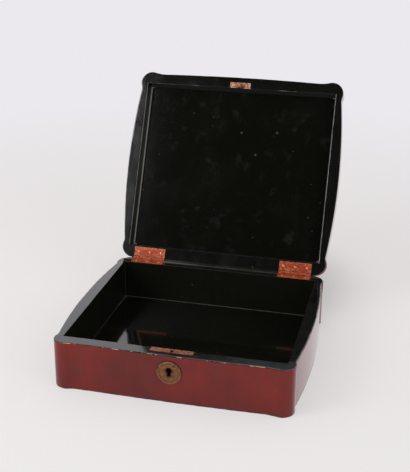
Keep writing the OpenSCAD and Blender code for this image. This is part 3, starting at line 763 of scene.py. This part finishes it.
def newGroup(name, numbers, outputs):
    # A group that takes a Vector and numbers and gives masks
    group = bpy.data.node_groups.new(name, "ShaderNodeTree")
    socket = group.interface.new_socket
    socket(name="Vector", in_out="INPUT", socket_type="NodeSocketVector")
    for key, value in numbers.items():
        socket(name=key, in_out="INPUT", socket_type="NodeSocketFloat").default_value = value
    for key in outputs:
        socket(name=key, in_out="OUTPUT", socket_type="NodeSocketFloat")
    given = group.nodes.new("NodeGroupInput").outputs
    return Shade(group, given["Vector"]), given, group.nodes.new("NodeGroupOutput").inputs


def wearGroup():
    # Chips along an arris: the edge mask times noise drawn out level with the edge, cut off high
    s, given, out = newGroup("edgeChips", {"Edge": 0.0, "Amount": 0.3, "Scale": 150.0}, ["Mask"])
    broken = s.grain(given["Scale"], 3, 0.6, (0.5, 0.5, 1.2))
    s.link(s.ramp(s.mul(given["Edge"], s.add(broken, given["Amount"])), 0.82, 0.9), out["Mask"])
    return s.tree


def dustGroup():
    # A speck in each cell that its own random colour picks, and a thin uneven film
    s, given, out = newGroup("dust", {"Scale": 160.0, "Size": 0.12, "Share": 0.2}, ["Specks", "Film"])
    inputs = {"Vector": s.vector, "Scale": given["Scale"], "Randomness": 1.0}
    cells = s.put("TexVoronoi", inputs)
    speck = s.ramp(cells["Distance"], given["Size"], s.mul(given["Size"], 0.5))
    pick = s.put("SeparateColor", {0: cells["Color"]})[0]
    s.link(s.mul(speck, s.below(pick, given["Share"])), out["Specks"])
    s.link(s.ramp(s.grain(s.mul(given["Scale"], 0.12), 4, 0.6), 0.42, 0.75), out["Film"])
    return s.tree


def scratchGroup():
    # Hair lines: noise drawn out along three directions, kept where it crosses its middle value
    s, given, out = newGroup("hairScratches", {"Scale": 60.0}, ["Mask"])
    lines = []
    for angle, stretch in ((0.5, (1, 34, 34)), (-0.9, (30, 1, 30)), (0.2, (34, 34, 1))):
        inputs = {"Vector": s.vector, "Rotation": (angle, angle * 0.6, angle), "Scale": stretch}
        turned = s.put("Mapping", inputs)[0]
        level = s.grain(given["Scale"], 0.0, vector=turned)
        line = s.ramp(s.size(s.sub(level, 0.5)), 0.006, 0.001)
        lines.append(s.mul(line, s.ramp(s.grain(3.0, vector=turned), 0.55, 0.65)))
    s.link(s.most(*lines), out["Mask"])
    return s.tree


edgeChips, dust, hairScratches = wearGroup(), dustGroup(), scratchGroup()


def startMaterial(name, color, **constants):
    made = bpy.data.materials.new(name)
    made.use_nodes = True
    made.diffuse_color = (*color, 1)
    tree = made.node_tree
    shader = tree.nodes["Principled BSDF"]
    for key, value in constants.items():
        shader.inputs[key].default_value = value
    return made, Shade(tree, tree.nodes.new("ShaderNodeTexCoord").outputs["Object"], shader)


# Lacquer

lacquer = {
    "redDeep": (0.1, 0.0068, 0.0046), "redWarm": (0.172, 0.008, 0.004), "redBrown": (0.112, 0.013, 0.0062),
    "black": (0.003, 0.0033, 0.0017), "film": (0.0058, 0.006, 0.0042), "blotch": (0.011, 0.0116, 0.0096),
    # The front rim's lighter grey on the next line is a painted reflection
    # The inside faces' lighter black on the next line is painted light
    "wall": (0.0062, 0.0066, 0.0036), "rubbedRim": (0.024, 0.0275, 0.026), "smudge": (0.06, 0.062, 0.052),
    # The colour round the keyhole plate on the next line is painted shadow
    # The hinge line's colour on the next line is dust and painted light in the gap
    "speck": (0.34, 0.33, 0.28), "crack": (0.135, 0.13, 0.09), "plateRing": (0.03, 0.006, 0.0045),
    "chip": (0.5, 0.4, 0.27), "under": (0.06, 0.024, 0.014),
    "redRough": 0.12, "blackRough": 0.09, "wallRough": 0.3, "bareRough": 0.6, "redGlaze": 0.65,
    "worn": {"Amount": 0.45, "Scale": 120.0}, "chipped": {"Amount": 0.32, "Scale": 230.0},
    "dust": {"Scale": 150.0, "Size": 0.1, "Share": 0.11},
    "smudges": {"Scale": 42.0, "Size": 0.085, "Share": 0.3},
}
onBox = {  # reach and strength of the dust and painted light at the hinge line, and the noise from which crumbs lie in a joint
    "dust": (0.115, 0.092, 0.062), "rim": (0.0085, 0.009, 0.0078), "grey": (0.15, 0.145, 0.125),
    "crack": (0.0095, 1.0), "crumbs": (0.25, 0.75),
}
onLid = {
    # The lid's pale joint dust is partly a painted highlight
    "dust": (0.26, 0.255, 0.23), "rim": (0.0048, 0.005, 0.004), "grey": (0.25, 0.245, 0.215),
    "crack": (0.0015, 0.3), "crumbs": (0.42, 0.72),
}
noises = {  # scale, detail, roughness, stretch
    "cloud": (13, 5, 0.62), "mottle": (34, 3, 0.55), "brush": (110, 3, 0.5, (1, 1, 0.15)), "border": (240, 3),
    "blotch": (62, 4, 0.6), "crumbs": (260, 4, 0.65), "crack": (190, 3), "waves": (38, 2), "skin": (420, 2),
    "rubbed": (70, 5, 0.65, (1, 0.5, 0.5)), "boardCrumbs": (210, 4, 0.65), "boardWaves": (24, 2),
    "wood": (22, 4, 0.6, (0.12, 1, 1)), "tarnish": (230, 5, 0.65), "dents": (480, 2, 0.5), "pits": (1100, 2),
    "seam": (260, 3),
}
coat = {"IOR": 1.42, "Coat Roughness": 0.06, "Coat IOR": 1.5}
hingeLine = ((0, axisY, axisZ), (1, 2))


def hingeGapDustAndLight(s, far, x, reach, share):
    # Dust and painted light along the hinge line, for the light through the gap under the lid, in a band by
    # distance from the hinge axis, thicker towards the left
    left = s.add(0.25, s.mul(s.ramp(x, -0.01, -0.075), 0.65))
    broken = s.add(0.45, s.noise("crack"))
    band = s.mul(s.ramp(far, reach * 0.9, reach * 0.5), s.ramp(far, reach * 0.03, reach * 0.42), share)
    return s.mul(band, left, broken, clamp=True)


def redTone(s, cloud, mottle):
    tone = s.add(s.mul(cloud, 0.85), s.mul(s.noise("brush"), 0.15))
    color = s.blend(s.ramp(tone, 0.36, 0.66), lacquer["redDeep"], lacquer["redWarm"])
    return s.blend(s.mul(s.ramp(mottle, 0.5, 0.68), 0.55), color, lacquer["redBrown"])


def roundPlate(s, color, y, mottle):
    # Painted shadow as a dark ring round the keyhole plate, and painted shade as black in the keyhole, on the
    # front only
    low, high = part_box("escutcheon")
    far, r = s.fromLine((0, 0, (low.z + high.z) / 2), (0, 2)), rose["radius"]
    ring = s.mul(s.ramp(far, r + 0.0011, r + 0.0002), s.below(y, low.y + 0.004))
    color = s.blend(s.mul(ring, s.add(0.35, mottle)), color, lacquer["plateRing"])
    # Painted shade: black inside the keyhole
    return s.blend(s.mul(s.ramp(far, 0.0105, 0.0095), s.below(y, -0.1)), color, lacquer["black"])


def lacquerMaterial(name, finish, panel=False):
    # Red outside and black inside by mask, with clouding, worn arrises, dust in the joints (on the lid partly
    # a painted highlight), specks, and painted light and shade: a lighter black inside, a reflection on the
    # front rim, a light line at the hinge gap, shade round and in the keyhole
    made, s = startMaterial(name, lacquer["redWarm"], **coat)
    (x, y, z), hingeFar = s.xyz(), s.fromLine(*hingeLine)
    edge, red, joint, rim = (s.mask(key) for key in ("edge", "red", "joint", "rim"))
    if panel:
        fromX = s.mask("fromX")
        # Joint line round the panel, strongest at the sides and cut back on the right: dust, partly a painted
        # highlight
        joint = s.ramp(s.most(fromX, s.mask("fromY")), -0.0017, -0.0004)
        joint = s.mul(joint, s.below(red, 0.5), s.add(0.25, s.ramp(fromX, -0.006, -0.001), clamp=True))
    redShare = s.ramp(s.add(red, s.mul(s.sub(s.noise("border"), 0.5), 0.6)), 0.4, 0.6)
    blackShare = s.sub(1.0, redShare)
    wallShare = s.mul(blackShare, s.sub(1.0, rim))
    cloud, mottle = s.noise("cloud"), s.noise("mottle")
    dusty, smudges = s.use(dust, **lacquer["dust"]), s.use(dust, **lacquer["smudges"])["Specks"]
    black = s.blend(s.mul(dusty["Film"], 0.5), lacquer["black"], lacquer["film"])
    blotches = s.mul(s.ramp(s.noise("blotch"), 0.54, 0.74), s.ramp(cloud, 0.34, 0.52))
    black = s.blend(blotches, black, lacquer["blotch"])
    # Painted light: inside faces of walls and rails get a lighter black than the rest
    if not panel:
        black = s.blend(s.mul(wallShare, 0.7), black, lacquer["wall"])
    black = s.blend(s.mul(rim, s.ramp(mottle, 0.2, 0.6)), black, finish["rim"])
    # Painted reflection: a lighter grey in clouds on the right part of the front rim
    if not panel:
        rimSheenSpot = s.mul(s.ramp(x, 0.03, 0.09), s.below(y, -0.1), s.add(cloud, 0.35))
        black = s.blend(s.mul(rim, rimSheenSpot), black, lacquer["rubbedRim"])
    color = s.blend(redShare, black, redTone(s, cloud, mottle))

    outside = s.ramp(red, 0.02, 0.2)
    worn = s.use(edgeChips, Edge=edge, **lacquer["worn"])["Mask"]
    color = s.blend(worn, color, s.blend(outside, finish["grey"], lacquer["under"]))
    chipped = s.use(edgeChips, Edge=edge, **lacquer["chipped"])["Mask"]
    color = s.blend(chipped, color, s.blend(outside, finish["grey"], lacquer["chip"]))
    # Crumbs of dust in the joints; on the lid partly a painted highlight, strongest on the left
    crumbs = s.ramp(s.mul(joint, s.add(s.noise("crumbs"), 0.3)), *finish["crumbs"])
    color = s.blend(crumbs, color, finish["dust"])
    # Dust and painted light: a light grey line along the hinge gap
    gapDustAndLight = s.mul(hingeGapDustAndLight(s, hingeFar, x, *finish["crack"]), rim, blackShare)
    color = s.blend(gapDustAndLight, color, lacquer["crack"])
    color = s.blend(s.mul(smudges, blackShare, 0.7), color, lacquer["smudge"])
    color = s.blend(s.mul(dusty["Specks"], blackShare, 0.36), color, lacquer["speck"])
    s.give("Base Color", color if panel else roundPlate(s, color, y, mottle))

    # The rear outer face, the foot, the dusty painted light line at the hinge and all that is worn or dusty
    # are dull
    bare = s.most(worn, crumbs, s.ramp(gapDustAndLight, 0.0, 0.3), s.mul(s.ramp(hingeFar, 0.024, 0.018), redShare))
    if not panel:
        bare = s.most(bare, s.ramp(z, 0.0022, 0.0012))
    hairs = s.use(hairScratches, Scale=26.0)["Mask"]
    rubbed = s.mul(rim, s.add(s.mul(s.ramp(s.noise("rubbed"), 0.3, 0.7), 0.12), -0.01))
    rough = s.add(lacquer["blackRough"], s.mul(redShare, lacquer["redRough"] - lacquer["blackRough"]), rubbed)
    rough = s.add(rough, s.mul(dusty["Film"], 0.04), s.mul(hairs, 0.1))
    rough = s.most(rough, s.mul(bare, lacquer["bareRough"]), clamp=True)
    if not panel:
        rough = s.most(rough, s.mul(wallShare, lacquer["wallRough"]), clamp=True)
        bare = s.most(bare, s.mul(wallShare, 0.75))
    s.give("Roughness", rough)
    onSides = s.ramp(s.size(x), 0.1265, 0.13)
    glaze = s.add(blackShare, s.mul(redShare, onSides, lacquer["redGlaze"]))
    s.give("Coat Weight", s.mul(glaze, s.sub(1.0, bare), clamp=True))
    skin = s.add(s.mul(s.noise("waves"), 0.6), s.mul(s.noise("skin"), 0.04))
    s.bump(s.sub(skin, s.mul(chipped, 0.25)), 0.35, 0.0004)
    return made


board = {"woodDark": (0.035, 0.022, 0.014), "woodLight": (0.085, 0.055, 0.034), "bareRough": 0.7}


def boardMaterial():
    # Black board: dust lies against the walls and in the corners, bare wood shows underneath
    made, s = startMaterial("blackBoard", lacquer["black"], **coat)
    x, y, z = s.xyz()
    middleY, halfY = (inside["front"] + inside["rear"]) / 2, (inside["rear"] - inside["front"]) / 2
    fromX = s.sub(s.size(x), inside["x"])
    fromY = s.sub(s.size(s.sub(y, middleY)), halfY)
    near = s.mul(s.ramp(s.most(fromX, fromY), -0.0032, 0.0), s.add(0.55, s.mul(s.ramp(y, 0.05, 0.1), 0.25)))
    corner = s.ramp(s.add(fromX, fromY), -0.01, -0.002)
    crumbs = s.ramp(s.mul(near, s.add(s.noise("boardCrumbs"), 0.35)), 0.22, 0.85)
    dusty, smudges = s.use(dust, **lacquer["dust"]), s.use(dust, **lacquer["smudges"])["Specks"]
    color = s.blend(s.mul(dusty["Film"], 0.5), lacquer["black"], lacquer["film"])
    color = s.blend(s.mul(smudges, 0.5), color, lacquer["smudge"])
    color = s.blend(s.most(crumbs, s.mul(corner, 0.9)), color, onBox["dust"])
    color = s.blend(s.mul(dusty["Specks"], 0.35), color, lacquer["speck"])
    bare = s.ramp(z, 0.002, 0.001)
    wood = s.blend(s.noise("wood"), board["woodDark"], board["woodLight"])
    s.give("Base Color", s.blend(bare, color, wood))
    hairs = s.use(hairScratches, Scale=26.0)["Mask"]
    rough = s.add(lacquer["blackRough"], s.mul(dusty["Film"], 0.06), s.mul(hairs, 0.12))
    dull = s.most(crumbs, bare)
    s.give("Roughness", s.most(rough, s.mul(dull, board["bareRough"]), clamp=True))
    s.give("Coat Weight", s.sub(1.0, dull, clamp=True))
    s.bump(s.noise("boardWaves"), 0.12, 0.0004)
    return made


# Metals

metals = {  # main, tarnished and rubbed colour, metallic, roughness, how strongly mottled
    "copper": ((0.385, 0.033, 0.009), (0.21, 0.038, 0.006), (0.6, 0.2, 0.09), 0.35, 0.38, 0.5),
    "catchCopper": ((0.4, 0.07, 0.036), (0.13, 0.03, 0.018), (0.85, 0.5, 0.36), 0.35, 0.33, 1),
    "stripCopper": ((0.165, 0.026, 0.012), (0.105, 0.028, 0.012), (0.44, 0.18, 0.1), 0.35, 0.38, 0.45),
    "roseBrass": ((0.24, 0.088, 0.027), (0.115, 0.04, 0.016), (0.6, 0.34, 0.15), 0.45, 0.4, 1),
    "nailBrass": ((0.8, 0.5, 0.24), (0.45, 0.2, 0.09), (0.95, 0.8, 0.5), 0.5, 0.28, 1),
    "worksBrass": ((0.42, 0.29, 0.13), (0.16, 0.095, 0.045), (0.7, 0.55, 0.28), 0.75, 0.36, 1),
    "steel": ((0.22, 0.21, 0.2), (0.07, 0.055, 0.045), (0.42, 0.41, 0.39), 0.9, 0.4, 1),
}
grimeColor = (0.016, 0.009, 0.006)


def metalMaterial(name):
    # Tarnish in clouds and pits, raised places rubbed bright, grime by mask and between the knuckles
    main, tarnish, bright, metallic, roughness, mottle = metals[name]
    made, s = startMaterial(name, main, IOR=coat["IOR"])
    grime = s.mask("grime")
    if name == "copper":
        far = s.fromLine(*hingeLine)
        seam = s.mul(s.ramp(far, 0.0024, 0.0018), s.ramp(far, 0.0012, 0.0015))
        grime = s.most(grime, s.mul(seam, s.add(0.25, s.noise("seam")), clamp=True))
    cloud, dents = s.noise("tarnish"), s.noise("dents")
    pits = s.ramp(s.noise("pits"), 0.62, 0.72)
    color = s.blend(s.mul(s.ramp(cloud, 0.42, 0.66), mottle), main, tarnish)
    raised = s.ramp(s.put("NewGeometry")["Pointiness"], 0.505, 0.55)
    color = s.blend(s.mul(raised, s.ramp(dents, 0.35, 0.6), 0.75), color, bright)
    color = s.blend(s.mul(pits, 0.6 * mottle), color, tarnish)
    s.give("Base Color", s.blend(s.mul(grime, 0.9), color, grimeColor))
    hairs = s.use(hairScratches, Scale=110.0)["Mask"]
    rough = s.sub(s.add(roughness, s.mul(s.sub(cloud, 0.5), 0.35)), s.mul(hairs, 0.12))
    s.give("Roughness", s.most(rough, s.mul(grime, 0.7), clamp=True))
    shine = s.sub(1.0, s.mul(s.most(pits, grime), 0.5))
    s.give("Metallic", s.mul(shine, metallic))
    s.bump(s.sub(dents, s.mul(s.add(pits, hairs), 0.05)), 0.6 * mottle, 0.0003)
    return made


def paint(pieces, material):
    for piece in pieces:
        piece.data.materials.clear()
        piece.data.materials.append(material)


paint(wallPieces.values(), lacquerMaterial("wallLacquer", onBox))
paint(railPieces.values(), lacquerMaterial("railLacquer", onLid))
paint([topPiece], lacquerMaterial("panelLacquer", onLid, True))
paint([nodes["bottom_board"]], boardMaterial())
metal = {name: metalMaterial(name) for name in metals}
for nodeName, piece in fittingPieces.items():
    paint([piece], metal[fittings[nodeName][4]])
objects = bpy.data.objects
nailPieces = ("baseHingeNails", "lidHingeNails", "catchNails", "lockNails")
paint([objects[n] for n in nailPieces], metal["nailBrass"])
paint([objects[n] for n in ("keyholePlate", "escutcheonPins")], metal["roseBrass"])
paint([nodes[n] for n in ("lock_pillars", "lock_guide_studs")], metal["worksBrass"])
steelNodes = ("hinge_left_pin", "hinge_right_pin", "lock_key_pin", "lock_spring")
paint([nodes[n] for n in steelNodes], metal["steel"])
print("materials made")


# Floor, light and camera

studio = {
    "floor": (0.82, 0.8, 0.8), "near": (0.835, 0.8, 0.8), "backdrop": (0.831, 0.815, 0.855),
    "floorSize": 14.0, "fade": (0.45, 1.3), "nearShare": 0.58,
    "underLid": (0, 0.21, 0), "underReach": (0.1, 0.2),
}
room = {
    "gloss": (0.8, 0.8, 0.83), "dim": (0.012, 0.012, 0.012), "window": (0.92, 0.97, 1.0), "glow": 0.58,
    "windowSide": (0.343, 0.372), "windowHeight": (0.62, 0.47), "ambient": (0.985, 0.99, 1.0), "level": 0.76,
}


def pickRays(s, *names):
    # 1 for any of these kinds of ray
    path = s.put("LightPath")
    return s.most(*(path[f"Is {name} Ray"] for name in names))


def makeFloor():
    # Pale paper that takes the shadow near the box and turns to an even backdrop further out
    h = studio["floorSize"] / 2
    mesh = bpy.data.meshes.new("floor")
    mesh.from_pydata([(-h, -h, 0), (h, -h, 0), (h, h, 0), (-h, h, 0)], [], [(0, 1, 2, 3)])
    floor = addObject("floor", mesh)
    made, s = startMaterial("paleFloor", studio["floor"])
    s.tree.nodes.remove(s.shader)
    far = s.put("VectorMath", {0: s.vector}, operation="LENGTH")["Value"]
    out = s.ramp(far, *studio["fade"])
    paper = s.put("BsdfDiffuse", {"Color": (*studio["floor"], 1)})[0]
    color = s.blend(out, studio["near"], studio["backdrop"])
    glow = s.put("Emission", {"Color": color, "Strength": 1.0})[0]
    inputs = {0: s.vector, 1: studio["underLid"]}
    behind = s.put("VectorMath", inputs, operation="DISTANCE")["Value"]
    share = s.add(studio["nearShare"], s.mul(out, 1 - studio["nearShare"]))
    share = s.mul(share, s.ramp(behind, *studio["underReach"]))  # full shadow under the open lid
    share = s.mul(share, pickRays(s, "Camera", "Glossy", "Transmission"))
    mixed = s.put("MixShader", {0: share, 1: paper, 2: glow})[0]
    s.link(mixed, s.tree.nodes["Material Output"].inputs["Surface"])
    mesh.materials.append(made)


def makeWorld():
    # Camera rays see the pale backdrop; gloss sees it behind the box and a dim room before it, with a
    # soft window low on the left
    world = bpy.data.worlds.new("studio")
    bpy.context.scene.world = world
    world.use_nodes = True
    s = Shade(world.node_tree)
    x, y, z = s.xyz(s.put("TexCoord")["Generated"])
    behind = s.ramp(s.sub(y, s.mul(x, 0.25)), -0.15, 0.35)
    side = s.ramp(s.calc("DIVIDE", x, s.calc("MINIMUM", y, -0.05)), *room["windowSide"])
    window = s.mul(side, s.ramp(z, *room["windowHeight"]), room["glow"])
    glossy = s.blend(behind, s.blend(window, room["dim"], room["window"]), room["gloss"])
    seen = s.blend(pickRays(s, "Camera", "Transmission"), glossy, studio["backdrop"])
    ambient = tuple(room["level"] * c for c in room["ambient"])
    color = s.blend(pickRays(s, "Camera", "Glossy", "Transmission"), ambient, seen)
    sky = s.tree.nodes["Background"].inputs
    s.link(color, sky["Color"])
    sky["Strength"].default_value = 1.0


lamps = {"key": ((-1.05, -0.95, 1.0), 0.7, 10.0), "fill": ((1.3, -0.9, 0.9), 0.9, 5.0)}  # place, size, watts
lampAim = (0, 0, 0.08)


def makeLamps():
    for name, (spot, size, power) in lamps.items():
        data = bpy.data.lights.new(name, "AREA")
        data.shape, data.size, data.energy = "SQUARE", size, power
        lamp = addObject(name, data)
        lamp.location = spot
        lamp.rotation_mode = "QUATERNION"
        aim = np.array(lampAim) - np.array(spot)
        lamp.rotation_quaternion = Vector(aim).to_track_quat("-Z", "Y")


shot = {
    "lens": 73.12, "sensor": 36.0, "azimuth": 13.384, "elevation": 21.528, "roll": 0.502,
    "distance": 1.05, "target": (0.00913, -0.00325, 0.14357),
}


def makeCamera():
    data = bpy.data.cameras.new("camera")
    data.lens, data.sensor_width, data.clip_start = shot["lens"], shot["sensor"], 0.01
    camera = addObject("camera", data)
    a, e, roll = (radians(shot[k]) for k in ("azimuth", "elevation", "roll"))
    back = np.array([sin(a) * cos(e), -cos(a) * cos(e), sin(e)])
    right = np.cross([0, 0, 1], back)
    right /= norm(right)
    up = np.cross(back, right)
    right, up = right * cos(roll) + up * sin(roll), up * cos(roll) - right * sin(roll)
    matrix = np.eye(4)
    matrix[:3, :3] = np.stack([right, up, back], 1)
    matrix[:3, 3] = np.array(shot["target"]) + back * shot["distance"]
    camera.matrix_world = Matrix(matrix.tolist())
    bpy.context.scene.camera = camera


makeFloor()
makeWorld()
makeLamps()
makeCamera()
bpy.context.scene.view_settings.view_transform = "Standard"
print("studio made")
